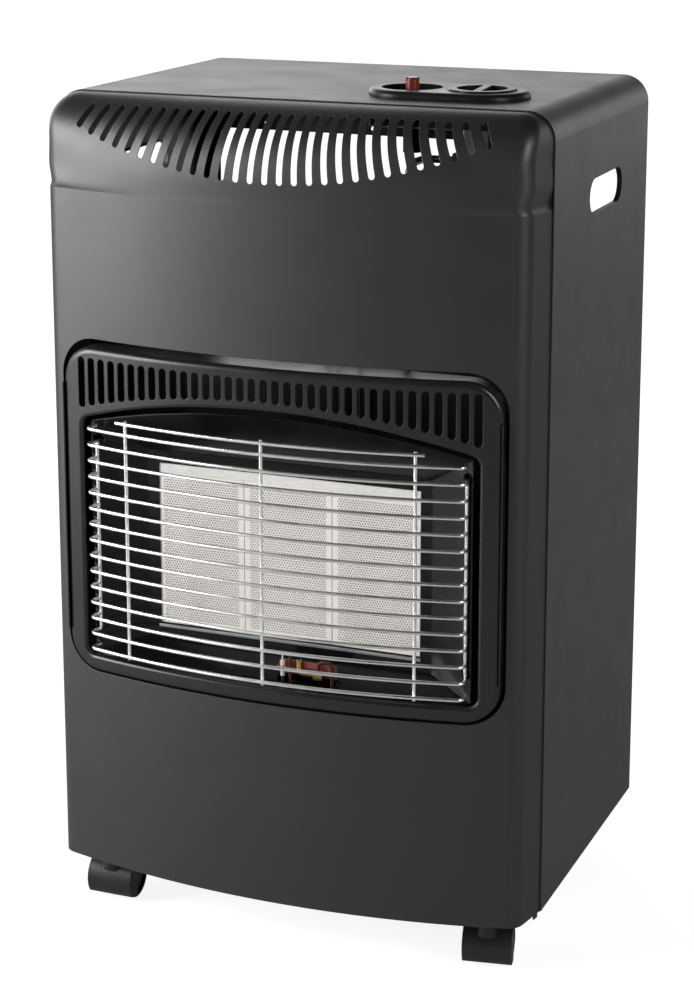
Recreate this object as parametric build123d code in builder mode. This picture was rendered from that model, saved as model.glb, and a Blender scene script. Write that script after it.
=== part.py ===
"""Portable gas cabinet heater: a sheet-steel cabinet on casters that holds a gas bottle,
with a bowed front panel, a three-plaque radiant burner behind a wire guard, and controls on top.

Frame: X to the right, Y to the rear, Z up. The origin is on the floor, midway between the
foremost wire of the guard and the rear edge of the casing. Millimetres.
"""
import os
from math import asin, atan2, cos, degrees, radians, sin, sqrt

from build123d import *

os.makedirs("parts", exist_ok=True)

# ---------------------------------------------------------------- driving dimensions
# Cabinet
casing_width = 436.0
casing_height = 671.0
casing_depth = 280.0
skirt_z = 52.0  # height of the cabinet's lower edge above the floor
sheet = 1.0  # thickness of every sheet-steel piece
casing_corner = 23.0  # bend along the casing's two top edges
rear_flange_side = 20.0
rear_flange_top = 66.0
rear_flange_corner = 8.0
rear_flange_hole = 4.0
rear_flange_hole_drop = 60.0
rear_flange_hole_xs = (-150.0, -82.5, -42.5, 42.5, 82.5, 150.0)

# Hand slots in the casing's sides
handle_length = 98.0
handle_height = 29.5
handle_y_from_seam = 149.4
handle_z_from_skirt = 588.0
handle_lip = 4.5

# Front panel
bow_radius = 760.0
bow_depth = 68.0  # middle of the panel's face ahead of the seam with the casing
panel_side_radius = 15.0
panel_lean = 0.19  # how far the side walls close in for each millimetre ahead of the seam
crown_radius = 60.0  # roll of the top edge at the middle
crown_side_radius = 37.0  # roll of the top edge at the sides
crown_step = 15.0  # degrees between the sections that shape the roll
lip_depth = 12.0  # how far the panel slides into the casing
lip_gap = 0.1
opening_half_width = 197.5
opening_low = skirt_z + 176.3
opening_high = skirt_z + 469.6
opening_corner = 33.0
opening_fold = 7.0

# Louvres across the top of the front panel
louvre_count = 29
louvre_pitch = 12.62
louvre_width = 5.4
louvre_low = skirt_z + 613.5  # lower end of the middle louvre
louvre_high = skirt_z + 661.0
louvre_arch_radius = 472.0
louvre_fan_z = skirt_z + 985.0  # all louvres point at this height on the centre line

# Burner surround
surround_proud = 4.0  # ahead of the front panel's face
surround_half_width = 194.0
surround_low = skirt_z + 178.5
surround_high = skirt_z + 463.0
surround_corner = 30.0
surround_edge = 5.0
surround_depth = 16.0
window_half_width = 176.0
window_low = skirt_z + 192.5
window_high = skirt_z + 428.0  # top of the arch
window_arch_radius = 579.0
window_corner = 9.0
window_edge = 3.5  # width of the rolled edge round the window
window_fold = 6.0
vent_count = 35
vent_pitch = 10.3
vent_width = 6.6
vent_top = skirt_z + 454.0
vent_arch_z = skirt_z + 434.5
vent_arch_radius = 650.0

# Reflector hood and plaques
hood_front_y_from_seam = -50.0
plaque_y_from_seam = -25.0
hood_slope_top = 1.2  # rise of the hood's roof for each millimetre forward
hood_back_half_width = 128.0
hood_back_low = skirt_z + 207.0
hood_back_high = skirt_z + 372.0
plaque_width = 79.0
plaque_height = 134.0
plaque_depth = 13.0
plaque_count = 3
plaque_low = skirt_z + 219.0
plaque_joint = 0.4
seal_height = 9.5
ledge_depth = 2.0
ledge_height = 3.0
ledge_edge = 0.7

# Burner behind the plaques
burner_depth = 34.0
burner_gap = 0.3
venturi_radius = 10.0
venturi_collar = 13.0
venturi_collar_height = 2.0
venturi_y_from_seam = -1.0
venturi_low = skirt_z + 158.0
manifold_z = skirt_z + 140.0
manifold_side = 12.0
manifold_wall = 1.2
manifold_half_length = 94.0
manifold_boss_x = 84.0
manifold_boss_radius = 5.0
manifold_boss_length = 5.0
injector_width = 9.0
injector_height = 8.0
injector_nozzle_radius = 2.2
injector_nozzle_height = 8.0
injector_shank_radius = 2.5
injector_shank_length = 3.0
injector_bore = 0.5
strap_x = 40.0
strap_width = 18.0
strap_thickness = 1.5
strap_foot = 12.0
bracket_low = skirt_z + 212.0
bracket_high = skirt_z + 430.0
bracket_web_y_from_seam = 21.0
bracket_foot = 18.0
shield_half_width = 205.0
shield_low = skirt_z + 156.0
shield_high = skirt_z + 480.0
shield_corner = 8.0
stay_x = 99.0
stay_width = 20.0
stay_height = 60.0
stay_low = skirt_z + 260.0

# Pilot, in front of the plaques
pilot_plate_width = 52.0
pilot_plate_low = skirt_z + 197.0
pilot_plate_high = skirt_z + 209.0
pilot_plate_thickness = 1.2
pilot_plate_corner = 2.0
pilot_plate_y_from_seam = -42.4  # rear face
pilot_y_from_seam = -47.0
pilot_tab_z = skirt_z + 203.5
pilot_tab_width = 15.0
pilot_tab_reach = 8.0
pilot_block_x = 37.0
pilot_block_width = 8.0
pilot_block_height = 6.0
pilot_flame_x = 19.5
pilot_flame_radius = 2.5
pilot_flame_wall = 1.0
pilot_flame_bend = 3.5
pilot_flame_high = skirt_z + 211.0
pilot_slot_height = 6.0
electrode_x = 4.5
electrode_radius = 1.8
electrode_tip_radius = 0.6
electrode_low = skirt_z + 196.0
electrode_high = skirt_z + 209.0
electrode_tip = 5.0
thermocouple_x = 11.5
thermocouple_radius = 1.6
thermocouple_edge = 0.8
thermocouple_drop = 1.0  # rod below the bracket's lower edge
thermocouple_high = skirt_z + 213.0

# The two leads and the pilot's gas tube, from the pilot to the controls
thermocouple_lead_radius = 1.0
thermocouple_lead_x = 30.0
thermocouple_lead_rise = 3.5  # above the ignition lead where both run rearward
thermocouple_lead_back = 17.0  # first run rearward
thermocouple_bend = 3.0
thermocouple_end_x = 140.0
thermocouple_end_y_from_controls = -9.0
ignition_lead_radius = 1.25
ignition_lead_x = 20.0
pilot_tube_radius = 1.5
pilot_tube_rise = 9.0  # loop above the pilot's block
pilot_tube_side = 12.0
pilot_tube_ahead = 6.0  # ahead of the gas valve's front face
pilot_tube_end_x_from_knob = -6.0
lead_bend = 4.0
lead_rise = 7.5  # lowest runs above the surround's lower edge
lead_clear = 15.0  # crossing of the ignition lead above the heat shield
lead_level = 10.0  # height between one crossing and the next
lead_slot_depth = 7.0
lead_slot_corner = 2.3
lead_y_from_seam = 16.0  # all three climb between burner box and heat shield

# Wire guard
wire = 3.0
guard_middle = 81.0  # centre line of the guard's wires ahead of the seam, at the middle
guard_side_gap = 7.0  # from the window's side to the middle of the guard's outermost wire
guard_end_half_width = window_half_width - guard_side_gap
guard_end_ahead = 59.0
guard_leg_inset = 4.4  # how far the legs stand inside the ends
guard_leg_half_width = guard_end_half_width - guard_leg_inset
guard_leg_ahead = 47.6
guard_low = skirt_z + 201.2
guard_pitch = 13.82
guard_count = 15
guard_short_half_width = 136.0
guard_short_rise = 9.4
guard_bar_xs = (-128.0, 0.0, 128.0)
guard_hook_low = skirt_z + 216.0
guard_hook_high = skirt_z + 380.0
guard_hook_depth = 8.0
guard_hook_rise = 2.2  # hood's holes above the hooks, which rest on their lower edges
guard_side_y_from_seam = -46.5
guard_hole = 8.5
guard_hook_bend = 2.5
guard_kink = 6.0  # bend where each wire turns back to the hood
guard_bar_low = skirt_z + 198.0
guard_bar_high = skirt_z + 406.0
guard_weld = 0.4  # how deep crossing wires are welded into each other

# Controls on the casing's top
igniter_x = 73.2
knob_x = 133.8
controls_y_from_seam = 70.9
bezel_radius = 37.8
bezel_shift = 1.8  # bezel's middle to the right of the controls' middle
bezel_height = 6.0
bezel_edge = 4.5
dish_radius = 25.4
dish_depth = 4.5
knob_radius = 28.0
knob_gap = 0.7
knob_thickness = 10.0
knob_proud = 1.5  # top of the knob above the bezel
knob_sink_radius = 21.0
knob_sink_depth = 6.0
knob_bar_width = 6.5
knob_bar_angle = 96.0
knob_travel = 3.0
knob_cup_floor = 1.2
knob_cup_wall = 1.0
knob_edge = 1.0
spindle_radius = 3.0
spindle_collar_radius = 4.4
spindle_collar = 1.5
spindle_cover = 2.0  # knob's thickness over the spindle's end
running_gap = 0.05
plunger_radius = 5.0
plunger_length = 10.0
plunger_sink = 2.0
button_radius = 5.7
button_height = 12.5  # above the dish's floor
button_travel = 4.0
button_depth = 15.5  # below the dish's floor
button_notches = 6
button_notch = 1.8
button_notch_depth = 1.6
button_crown_radius = 3.9
piezo_radius = 7.75
piezo_length = 48.0
piezo_neck_radius = 7.0
piezo_bore_depth = 24.0
control_drop = 24.0  # control bracket's plate below the casing's top
control_leg_low_x = 45.0
control_leg_high_x = 168.0
control_plate_width = 52.0
control_foot = 9.0
valve_width = 28.0
valve_depth = 30.0
valve_height = 60.0
valve_corner = 4.0
outlet_drop = 28.0  # below the valve's top face
outlet_boss_radius = 5.5
outlet_boss_length = 2.0
outlet_nut_width = 12.0
outlet_nut_length = 8.0
pipe_radius = 3.2
pipe_bore_radius = 2.2
pipe_bend = 10.0
pipe_side_x = 84.0
pipe_back_y_from_seam = 34.0
inlet_drop = 52.0  # below the valve's top face, clear of the casing's rear flange
hose_tail_radius = 4.0
hose_tail_length = 22.0
hose_tail_bore = 2.0
hose_tail_groove_depth = 0.6
hose_tail_groove = 1.8
hose_tail_groove_count = 3
hose_tail_nut_width = 13.0
hose_tail_nut_length = 6.0

# Base and rear cover
base_rise = 12.0  # base plate's lower face above the cabinet's lower edge
clearance = 0.3  # between neighbouring pieces that don't touch
base_flange = 11.0
base_corner = 24.0
base_vent_count = 5
base_vent_pitch = 46.0
base_vent_length = 90.0
base_vent_width = 9.0
base_tab_width = 6.0
base_tab_y_from_seam = -4.1
base_tab_drop = 5.0
cover_gap = 1.8
cover_height = 486.0
cover_low = skirt_z + 16.0
cover_recess = 8.0
cover_flange = 10.0
cover_corner = 6.0
cover_vent_count = 7
cover_vent_pitch = 46.0
cover_vent_length = 32.0
cover_vent_width = 6.0
cover_vent_rows = (60.0, 74.0, 392.0, 406.0)  # above the cover's lower edge
cover_grip_length = 84.0
cover_grip_height = 24.0
cover_grip_drop = 36.0
stop_height = 24.0
stop_width = 24.0
stop_foot = 14.0
stop_low = skirt_z + 470.0
hinge_z = skirt_z + 9.0
hinge_pin_radius = 2.0
hinge_barrel_radius = 3.5
hinge_knuckle = 14.0  # length of the cover's knuckle
hinge_lug = 8.0  # length of each knuckle on the base
hinge_side_gap = 0.4
hinge_tab = 2.0
hinge_half_span = 150.0
hinge_tab_high = 8.0  # up the cover from its lower edge
hinge_lug_rise = 1.5
hinge_head_radius = 3.2
hinge_head = 1.0

# Casters
wheel_radius = 18.5
wheel_width = 11.5
wheel_rim = 3.5
wheel_dish = 2.0
wheel_hub_radius = 6.5
wheel_hub_groove = 1.0
wheel_edge = 1.5
wheel_side_gap = 0.25
caster_web = 15.0
caster_wall = 1.6
caster_trail = 12.0  # swivel axis to axle
axle_radius = 2.5
axle_cover = 2.0  # wheel's thickness over the axle's end
hood_reach = 20.5  # caster hood's outer radius about the axle
hood_skirt = 12.5  # hood below the axle
hood_back = 6.0  # hood's rear edge ahead of the axle
web_reach = 13.5
boss_radius = 8.5
boss_low = 30.0
boss_high = 50.0
stem_radius = 5.0
stem_collar_radius = 8.0
stem_low = 24.0
stem_end_gap = 0.5
stem_plate = 38.0
stem_plate_thickness = 2.5
rivet_pitch = 29.0
rivet_radius = 2.0
rivet_head_radius = 3.6
rivet_head = 1.6
front_caster_x = 176.5
front_caster_y_from_seam = -13.7
rear_caster_x = 160.0
rear_caster_y_from_seam = 232.0
caster_turns = {"front_right": 10.0, "front_left": 0.0, "rear_right": 6.0, "rear_left": -4.0}

# ---------------------------------------------------------------- derived places
half_width = casing_width / 2
top_z = skirt_z + casing_height
panel_inset = sheet + lip_gap  # the front panel's outside within the casing's
panel_half = half_width - panel_inset
panel_top = top_z - panel_inset
panel_corner = casing_corner - panel_inset
guard_reach = guard_middle + wire / 2
seam_y = (guard_reach - casing_depth) / 2
rear_y = seam_y + casing_depth
bow_axis_y = seam_y - bow_depth + bow_radius
controls_y = seam_y + controls_y_from_seam
plaque_y = seam_y + plaque_y_from_seam
hood_front_y = seam_y + hood_front_y_from_seam
plaque_high = plaque_low + plaque_height
plaques_half_width = (plaque_count * plaque_width + (plaque_count - 1) * plaque_joint) / 2
box_y = plaque_y + sheet  # front face of plaques, seal and burner box
box_back_y = box_y + burner_depth
venturi_y = seam_y + venturi_y_from_seam
venturi_xs = [(index - 1) * (plaque_width + plaque_joint) for index in range(plaque_count)]
shield_y = seam_y + bracket_web_y_from_seam + sheet
pilot_y = seam_y + pilot_y_from_seam
pilot_face_y = seam_y + pilot_plate_y_from_seam - pilot_plate_thickness
lead_y = seam_y + lead_y_from_seam
lead_low = surround_low + lead_rise
lead_high = shield_high + lead_clear
guard_radius = (guard_end_half_width**2 + (guard_middle - guard_end_ahead) ** 2) / (
    2 * (guard_middle - guard_end_ahead)
)
guard_axis_y = seam_y - guard_middle + guard_radius
valve_top = top_z - control_drop - sheet
knob_low = top_z + bezel_height + knob_proud - knob_thickness
cup_floor_z = knob_low - knob_travel - clearance
base_z = skirt_z + base_rise
hinge_y = rear_y - hinge_barrel_radius
cover_y = rear_y - cover_recess  # rear face of the cover
cover_front_y = cover_y - sheet - cover_flange
base_back_y = cover_front_y + sheet
wheel_offset = caster_web / 2 + wheel_side_gap + wheel_width / 2
rivet_spots = [
    (side * caster_x + dx, seam_y + caster_y + dy)
    for side in (-1, 1)
    for caster_x, caster_y in (
        (front_caster_x, front_caster_y_from_seam),
        (rear_caster_x, rear_caster_y_from_seam),
    )
    for dx in (-rivet_pitch / 2, rivet_pitch / 2)
    for dy in (-rivet_pitch / 2, rivet_pitch / 2)
]
caster_half_width = caster_web / 2 + 2 * wheel_side_gap + wheel_width + caster_wall
far = 400.0


def write(piece, name):
    """Name a finished piece and write it to its own file"""
    piece.part.label = name
    export_step(piece.part, f"parts/{name}.step")


def upright(y):
    """Plane facing the front at depth y: its x is the model's X, its y the model's Z"""
    return Plane.XZ.offset(-y)


def bow_y(x, behind=0.0):
    """Depth at x of the surface that lies behind the front panel's bowed face"""
    return bow_axis_y - sqrt((bow_radius - behind) ** 2 - x**2)


def wall_reach(half, behind=0.0):
    """How far a panel wall that leans in from the seam at half runs before it meets the bow"""
    slope = 1 + panel_lean**2
    middle = bow_radius - bow_depth - panel_lean * half
    spare = half**2 + (bow_radius - bow_depth) ** 2 - (bow_radius - behind) ** 2
    return (sqrt(middle**2 - slope * spare) - middle) / slope


def bow_strip(front, back, reach):
    """Plan strip between two surfaces that follow the bow"""
    with BuildLine() as outline:
        near = ThreePointArc(
            (-reach, bow_y(reach, front)), (0, bow_y(0, front)), (reach, bow_y(reach, front))
        )
        away = ThreePointArc(
            (-reach, bow_y(reach, back)), (0, bow_y(0, back)), (reach, bow_y(reach, back))
        )
        Line(near @ 0, away @ 0)
        Line(near @ 1, away @ 1)
    make_face(outline.edges())


def bow_region(front, back_y, reach):
    """Plan region from a surface that follows the bow to a straight line at back_y"""
    with BuildLine() as outline:
        ThreePointArc(
            (-reach, bow_y(reach, front)), (0, bow_y(0, front)), (reach, bow_y(reach, front))
        )
        Polyline(
            (-reach, bow_y(reach, front)),
            (-reach, back_y),
            (reach, back_y),
            (reach, bow_y(reach, front)),
        )
    make_face(outline.edges())


def arch(inset, low, mode=Mode.ADD):
    """Upright outline of the cabinet down to the height low, drawn inward by inset"""
    half = half_width - inset
    with BuildLine() as outline:
        FilletPolyline(
            (-half, low),
            (-half, top_z - inset),
            (half, top_z - inset),
            (half, low),
            radius=casing_corner - inset,
        )
        Line((-half, low), (half, low))
    make_face(outline.edges(), mode=mode)


def bowed_block(half, low, high, corner, front, back_y, edge):
    """Block with a rounded upright outline and a bowed face, its front edges rounded"""
    with BuildPart() as block:
        with BuildSketch(upright(back_y)):
            with Locations((0, (low + high) / 2)):
                RectangleRounded(2 * half, high - low, corner)
        extrude(amount=far)
        with BuildSketch(Plane.XY.offset(low - sheet)):
            bow_region(front, back_y, half + 2 * sheet)
        extrude(amount=high - low + 2 * sheet, mode=Mode.INTERSECT)
        if edge > 0:
            fillet(block.faces().sort_by(Axis.Y)[0].edges(), edge)
    return block.part


# ---------------------------------------------------------------- casing
with BuildPart() as casing:
    with BuildSketch(upright(rear_y)):
        arch(0.0, skirt_z)
    extrude(amount=casing_depth)
    with BuildSketch(upright(rear_y - sheet)):
        arch(sheet, skirt_z - sheet)
    extrude(amount=casing_depth, mode=Mode.SUBTRACT)
    opening_half = half_width - rear_flange_side
    with BuildSketch(upright(rear_y + sheet)):
        with BuildLine():
            FilletPolyline(
                (-opening_half, skirt_z - sheet),
                (-opening_half, top_z - rear_flange_top),
                (opening_half, top_z - rear_flange_top),
                (opening_half, skirt_z - sheet),
                radius=rear_flange_corner,
            )
            Line((-opening_half, skirt_z - sheet), (opening_half, skirt_z - sheet))
        make_face()
        with Locations(*[(x, top_z - rear_flange_hole_drop) for x in rear_flange_hole_xs]):
            Circle(rear_flange_hole / 2)
    extrude(amount=3 * sheet, mode=Mode.SUBTRACT)
    for side in (-1, 1):
        slot_plane = Plane(
            origin=(side * half_width, seam_y + handle_y_from_seam, skirt_z + handle_z_from_skirt),
            x_dir=(0, 1, 0),
            z_dir=(-side, 0, 0),
        )
        with BuildSketch(slot_plane):
            SlotOverall(handle_length + 2 * sheet, handle_height + 2 * sheet)
        extrude(amount=handle_lip)
        with BuildSketch(slot_plane):
            SlotOverall(handle_length, handle_height)
        extrude(amount=handle_lip + sheet, mode=Mode.SUBTRACT)
    with BuildSketch(Plane.XY.offset(top_z + sheet)):
        with Locations((igniter_x, controls_y)):
            Circle(piezo_neck_radius + clearance)
        with Locations((knob_x, controls_y)):
            Circle(knob_radius + knob_gap + knob_cup_wall + clearance)
    extrude(amount=-3 * sheet, mode=Mode.SUBTRACT)
write(casing, "casing")


# ---------------------------------------------------------------- front panel
def panel_section(inset, back_y, crown):
    """Plan section of the front panel, drawn inward by inset, crown degrees up its top roll"""
    height = panel_top - crown_radius + (crown_radius - inset) * sin(radians(crown))
    middle_y = seam_y - bow_depth + crown_radius - (crown_radius - inset) * cos(radians(crown))
    if crown < 0:  # straight down below the roll
        height = panel_top - crown_radius + crown_radius * radians(crown)
        middle_y = seam_y - bow_depth + inset
    shoulder = max(0.0, height - (panel_top - panel_corner))
    turned = panel_corner - sqrt(max(0.0, (panel_corner - inset) ** 2 - shoulder**2))
    half = panel_half - max(inset, turned)
    climbed = min(max(0.0, height - (panel_top - crown_side_radius)), crown_side_radius - inset)
    side_roll = crown_side_radius - inset - sqrt((crown_side_radius - inset) ** 2 - climbed**2)
    ahead = wall_reach(half, inset) - side_roll
    reach = half - panel_lean * ahead
    end_y = seam_y - ahead
    with BuildSketch(Plane.XY.offset(height)) as section:
        with BuildLine():
            Polyline(
                (-reach, end_y),
                (-half, seam_y),
                (-half, back_y),
                (half, back_y),
                (half, seam_y),
                (reach, end_y),
            )
            ThreePointArc((reach, end_y), (0, middle_y), (-reach, end_y))
        make_face()
        fillet(section.vertices().group_by(Axis.Y)[0], min(panel_side_radius - inset, 0.7 * ahead))
    return section


def panel_block(inset, back_y, low, mode):
    """Solid inside the front panel's skin: a straight lower part and a rolled top"""
    base = panel_section(inset, back_y, -crown_step)
    base_high = panel_top - crown_radius - crown_radius * radians(crown_step)
    extrude(base.sketch, amount=low - base_high, mode=mode)
    crowns = [step * crown_step for step in range(-1, round(90 / crown_step) + 1)]
    sections = [panel_section(inset, back_y, crown) for crown in crowns]
    loft([section.sketch for section in sections], mode=mode)


with BuildPart() as opening_ring:
    with BuildSketch(upright(seam_y)):
        with Locations((0, (opening_low + opening_high) / 2)):
            RectangleRounded(
                2 * (opening_half_width + sheet),
                opening_high - opening_low + 2 * sheet,
                opening_corner + sheet,
            )
            RectangleRounded(
                2 * opening_half_width,
                opening_high - opening_low,
                opening_corner,
                mode=Mode.SUBTRACT,
            )
    extrude(amount=far)
    with BuildSketch(Plane.XY.offset(skirt_z)):
        bow_strip(sheet / 2, opening_fold, opening_half_width + 2 * sheet)
    extrude(amount=casing_height, mode=Mode.INTERSECT)

panel_back_y = seam_y + lip_depth
with BuildPart() as panel_core:
    panel_block(sheet, panel_back_y + sheet, skirt_z - sheet, Mode.ADD)
    with BuildSketch(upright(panel_back_y + sheet)):
        arch(panel_inset + sheet, skirt_z - sheet)
    extrude(amount=far, mode=Mode.INTERSECT)

with BuildPart() as front_panel:
    panel_block(0.0, panel_back_y, skirt_z, Mode.ADD)
    with BuildSketch(upright(panel_back_y)):
        arch(panel_inset, skirt_z)
    extrude(amount=far, mode=Mode.INTERSECT)
    add(panel_core.part, mode=Mode.SUBTRACT)
    with BuildSketch(upright(seam_y - crown_side_radius / 4)):
        with Locations((0, (opening_low + opening_high) / 2)):
            RectangleRounded(2 * opening_half_width, opening_high - opening_low, opening_corner)
    extrude(amount=far, mode=Mode.SUBTRACT)
    add(opening_ring.part)
    with BuildSketch(upright(seam_y - crown_side_radius / 4)):
        for index in range(louvre_count):
            x = (index - (louvre_count - 1) / 2) * louvre_pitch
            low = louvre_low + louvre_arch_radius - sqrt(louvre_arch_radius**2 - x**2)
            lean = (louvre_high - low) / (louvre_fan_z - low)
            middle = (x * (1 - lean / 2), (low + louvre_high) / 2)
            length = sqrt((louvre_high - low) ** 2 + (x * lean) ** 2)
            angle = 90 + degrees(atan2(x * lean, louvre_high - low))
            with Locations(middle):
                SlotCenterToCenter(length, louvre_width, rotation=angle)
    extrude(amount=far, mode=Mode.SUBTRACT)
write(front_panel, "front_panel")

# ---------------------------------------------------------------- burner surround
surround_inner = bowed_block(
    surround_half_width - sheet,
    surround_low + sheet,
    surround_high - sheet,
    surround_corner - sheet,
    sheet - surround_proud,
    hood_front_y + surround_depth,
    surround_edge - sheet,
)
surround_outer = bowed_block(
    surround_half_width,
    surround_low,
    surround_high,
    surround_corner,
    -surround_proud,
    hood_front_y + surround_depth,
    surround_edge,
)


def window_outline(grow, mode=Mode.ADD):
    """Upright outline of the surround's window, an arch on straight sides, grown by grow"""
    half = window_half_width + grow
    side_top = window_high - window_arch_radius
    side_top += sqrt((window_arch_radius + grow) ** 2 - half**2)
    with BuildLine() as outline:
        Polyline(
            (-half, side_top),
            (-half, window_low - grow),
            (half, window_low - grow),
            (half, side_top),
        )
        ThreePointArc((half, side_top), (0, window_high + grow), (-half, side_top))
        fillet(outline.vertices(), window_corner + grow)
    make_face(outline.edges(), mode=mode)


with BuildPart() as window_roll:
    with BuildSketch(upright(seam_y)):
        window_outline(window_edge)
    extrude(amount=far)
    with BuildSketch(Plane.XY.offset(skirt_z)):
        bow_strip(sheet / 2 - surround_proud, window_fold - surround_proud, surround_half_width)
    extrude(amount=casing_height, mode=Mode.INTERSECT)

with BuildPart() as surround:
    add(surround_outer)
    add(surround_inner, mode=Mode.SUBTRACT)
    add(window_roll.part)
    with BuildSketch(upright(seam_y)):
        window_outline(0.0)
    extrude(amount=far, mode=Mode.SUBTRACT)
    front_edges = surround.faces().sort_by(Axis.Y)[0].inner_wires()[0].edges()
    fillet(front_edges, window_edge - sheet / 2)
    with BuildSketch(upright(seam_y)):
        for index in range(vent_count):
            x = (index - (vent_count - 1) / 2) * vent_pitch
            low = vent_arch_z - vent_arch_radius + sqrt(vent_arch_radius**2 - x**2)
            with Locations((x, (low + vent_top) / 2)):
                SlotOverall(vent_top - low, vent_width, rotation=90)
    extrude(amount=far, mode=Mode.SUBTRACT)
write(surround, "burner_surround")


# ---------------------------------------------------------------- reflector hood
def hood_space(grow, mode):
    """Funnel from the surround's window to the plaques, grown outward by grow"""
    front = 2 * bow_depth

    def section(y, half, low, high):
        with BuildSketch(upright(y)) as outline:
            with Locations((0, (low + high) / 2)):
                Rectangle(2 * (half + grow), high - low + 2 * grow)
        return outline.sketch

    mouth_high = hood_back_high + hood_slope_top * (plaque_y - hood_front_y)
    front_high = mouth_high + hood_slope_top * (front + hood_front_y_from_seam)
    near = section(seam_y - front, window_half_width, window_low, front_high)
    mouth = section(hood_front_y, window_half_width, window_low, mouth_high)
    back = section(plaque_y, hood_back_half_width, hood_back_low, hood_back_high)
    loft([near, mouth], ruled=True, mode=mode)
    loft([mouth, back], ruled=True, mode=mode)


with BuildPart() as hood_inside:
    hood_space(0.0, Mode.ADD)

with BuildPart() as reflector_hood:
    hood_space(sheet, Mode.ADD)
    with BuildSketch(Plane.XY.offset(surround_low)):
        bow_region(window_fold - surround_proud + clearance, plaque_y, window_half_width + sheet)
    extrude(amount=surround_high - surround_low, mode=Mode.INTERSECT)
    with BuildSketch(upright(plaque_y + sheet)):
        with Locations((0, (hood_back_low + hood_back_high) / 2)):
            Rectangle(
                2 * (hood_back_half_width + sheet), hood_back_high - hood_back_low + 2 * sheet
            )
    extrude(amount=sheet)
    add(hood_inside.part, mode=Mode.SUBTRACT)
    with BuildSketch(upright(plaque_y + 2 * sheet)):
        with Locations((0, (plaque_low + plaque_high + seal_height) / 2)):
            Rectangle(2 * plaques_half_width - 2 * sheet, plaque_height + seal_height - 2 * sheet)
    extrude(amount=3 * sheet, mode=Mode.SUBTRACT)
    with BuildSketch(upright(plaque_y)):
        with Locations((0, (guard_hook_low + guard_hook_high) / 2 + guard_hook_rise)):
            with GridLocations(2 * guard_leg_half_width, guard_hook_high - guard_hook_low, 2, 2):
                Circle(guard_hole / 2)
    extrude(amount=far, mode=Mode.SUBTRACT)
    with BuildSketch(Plane.XY.offset(surround_low)):
        with Locations((pilot_plate_width / 2, seam_y + pilot_y_from_seam)):
            RectangleRounded(pilot_plate_width, lead_slot_depth, lead_slot_corner)
    extrude(amount=plaque_low - surround_low, mode=Mode.SUBTRACT)
write(reflector_hood, "reflector_hood")

# ---------------------------------------------------------------- plaques, seal and ledge
with BuildPart() as ceramic_plaques:
    with BuildSketch(upright(box_y + plaque_depth)):
        with Locations(*[(x, plaque_low + plaque_height / 2) for x in venturi_xs]):
            Rectangle(plaque_width, plaque_height)
    extrude(amount=plaque_depth)
write(ceramic_plaques, "ceramic_plaques")

with BuildPart() as plaque_seal:
    with BuildSketch(upright(box_y + plaque_depth)):
        with Locations((0, plaque_high + seal_height / 2)):
            Rectangle(2 * plaques_half_width, seal_height)
    extrude(amount=plaque_depth)
write(plaque_seal, "plaque_seal")

with BuildPart() as plaque_ledge:
    with BuildSketch(upright(plaque_y)):
        with Locations((0, plaque_low - ledge_height / 2)):
            Rectangle(2 * plaques_half_width, ledge_height)
    extrude(amount=ledge_depth)
    fillet(plaque_ledge.edges().filter_by(Axis.X).group_by(Axis.Y)[0], ledge_edge)
write(plaque_ledge, "plaque_ledge")

# ---------------------------------------------------------------- burner box and venturis
with BuildPart() as burner_box:
    box_high = plaque_high + seal_height
    with BuildSketch(upright(box_back_y)):
        with Locations((0, (plaque_low + box_high) / 2)):
            Rectangle(
                2 * (plaques_half_width + burner_gap + sheet), box_high - plaque_low + 2 * sheet
            )
    extrude(amount=burner_depth)
    with BuildSketch(upright(box_back_y - sheet)):
        with Locations((0, (plaque_low + box_high) / 2)):
            Rectangle(2 * (plaques_half_width + burner_gap), box_high - plaque_low)
    extrude(amount=burner_depth, mode=Mode.SUBTRACT)
    with BuildSketch(Plane.XY.offset(plaque_low - 2 * sheet)):
        with Locations(*[(x, venturi_y) for x in venturi_xs]):
            Circle(venturi_radius - sheet)
    extrude(amount=3 * sheet, mode=Mode.SUBTRACT)
write(burner_box, "burner_box")

with BuildPart() as venturi_tubes:
    box_low = plaque_low - sheet
    with BuildSketch(Plane.XY.offset(venturi_low)):
        with Locations(*[(x, venturi_y) for x in venturi_xs]):
            Circle(venturi_radius)
    extrude(amount=box_low - venturi_low)
    with BuildSketch(Plane.XY.offset(box_low)):
        with Locations(*[(x, venturi_y) for x in venturi_xs]):
            Circle(venturi_collar)
    extrude(amount=-venturi_collar_height)
    with BuildSketch(Plane.XY.offset(venturi_low)):
        with Locations(*[(x, venturi_y) for x in venturi_xs]):
            Circle(venturi_radius - sheet)
    extrude(amount=box_low - venturi_low, mode=Mode.SUBTRACT)
write(venturi_tubes, "venturi_tubes")

with BuildPart() as gas_manifold:
    inner_side = manifold_side - 2 * manifold_wall
    with Locations((0, venturi_y, manifold_z)):
        Box(2 * manifold_half_length, manifold_side, manifold_side)
    with BuildSketch(upright(venturi_y + manifold_side / 2)):
        with Locations((manifold_boss_x, manifold_z)):
            Circle(manifold_boss_radius)
    extrude(amount=-manifold_boss_length)
    with Locations((0, venturi_y, manifold_z)):
        Box(2 * (manifold_half_length - manifold_wall), inner_side, inner_side, mode=Mode.SUBTRACT)
    with BuildSketch(upright(venturi_y)):
        with Locations((manifold_boss_x, manifold_z)):
            Circle(pipe_radius + running_gap)
    extrude(amount=-manifold_side / 2 - manifold_boss_length, mode=Mode.SUBTRACT)
    with BuildSketch(Plane.XY.offset(manifold_z)):
        with Locations(*[(x, venturi_y) for x in venturi_xs]):
            Circle(injector_shank_radius + running_gap)
    extrude(amount=manifold_side, mode=Mode.SUBTRACT)
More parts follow.
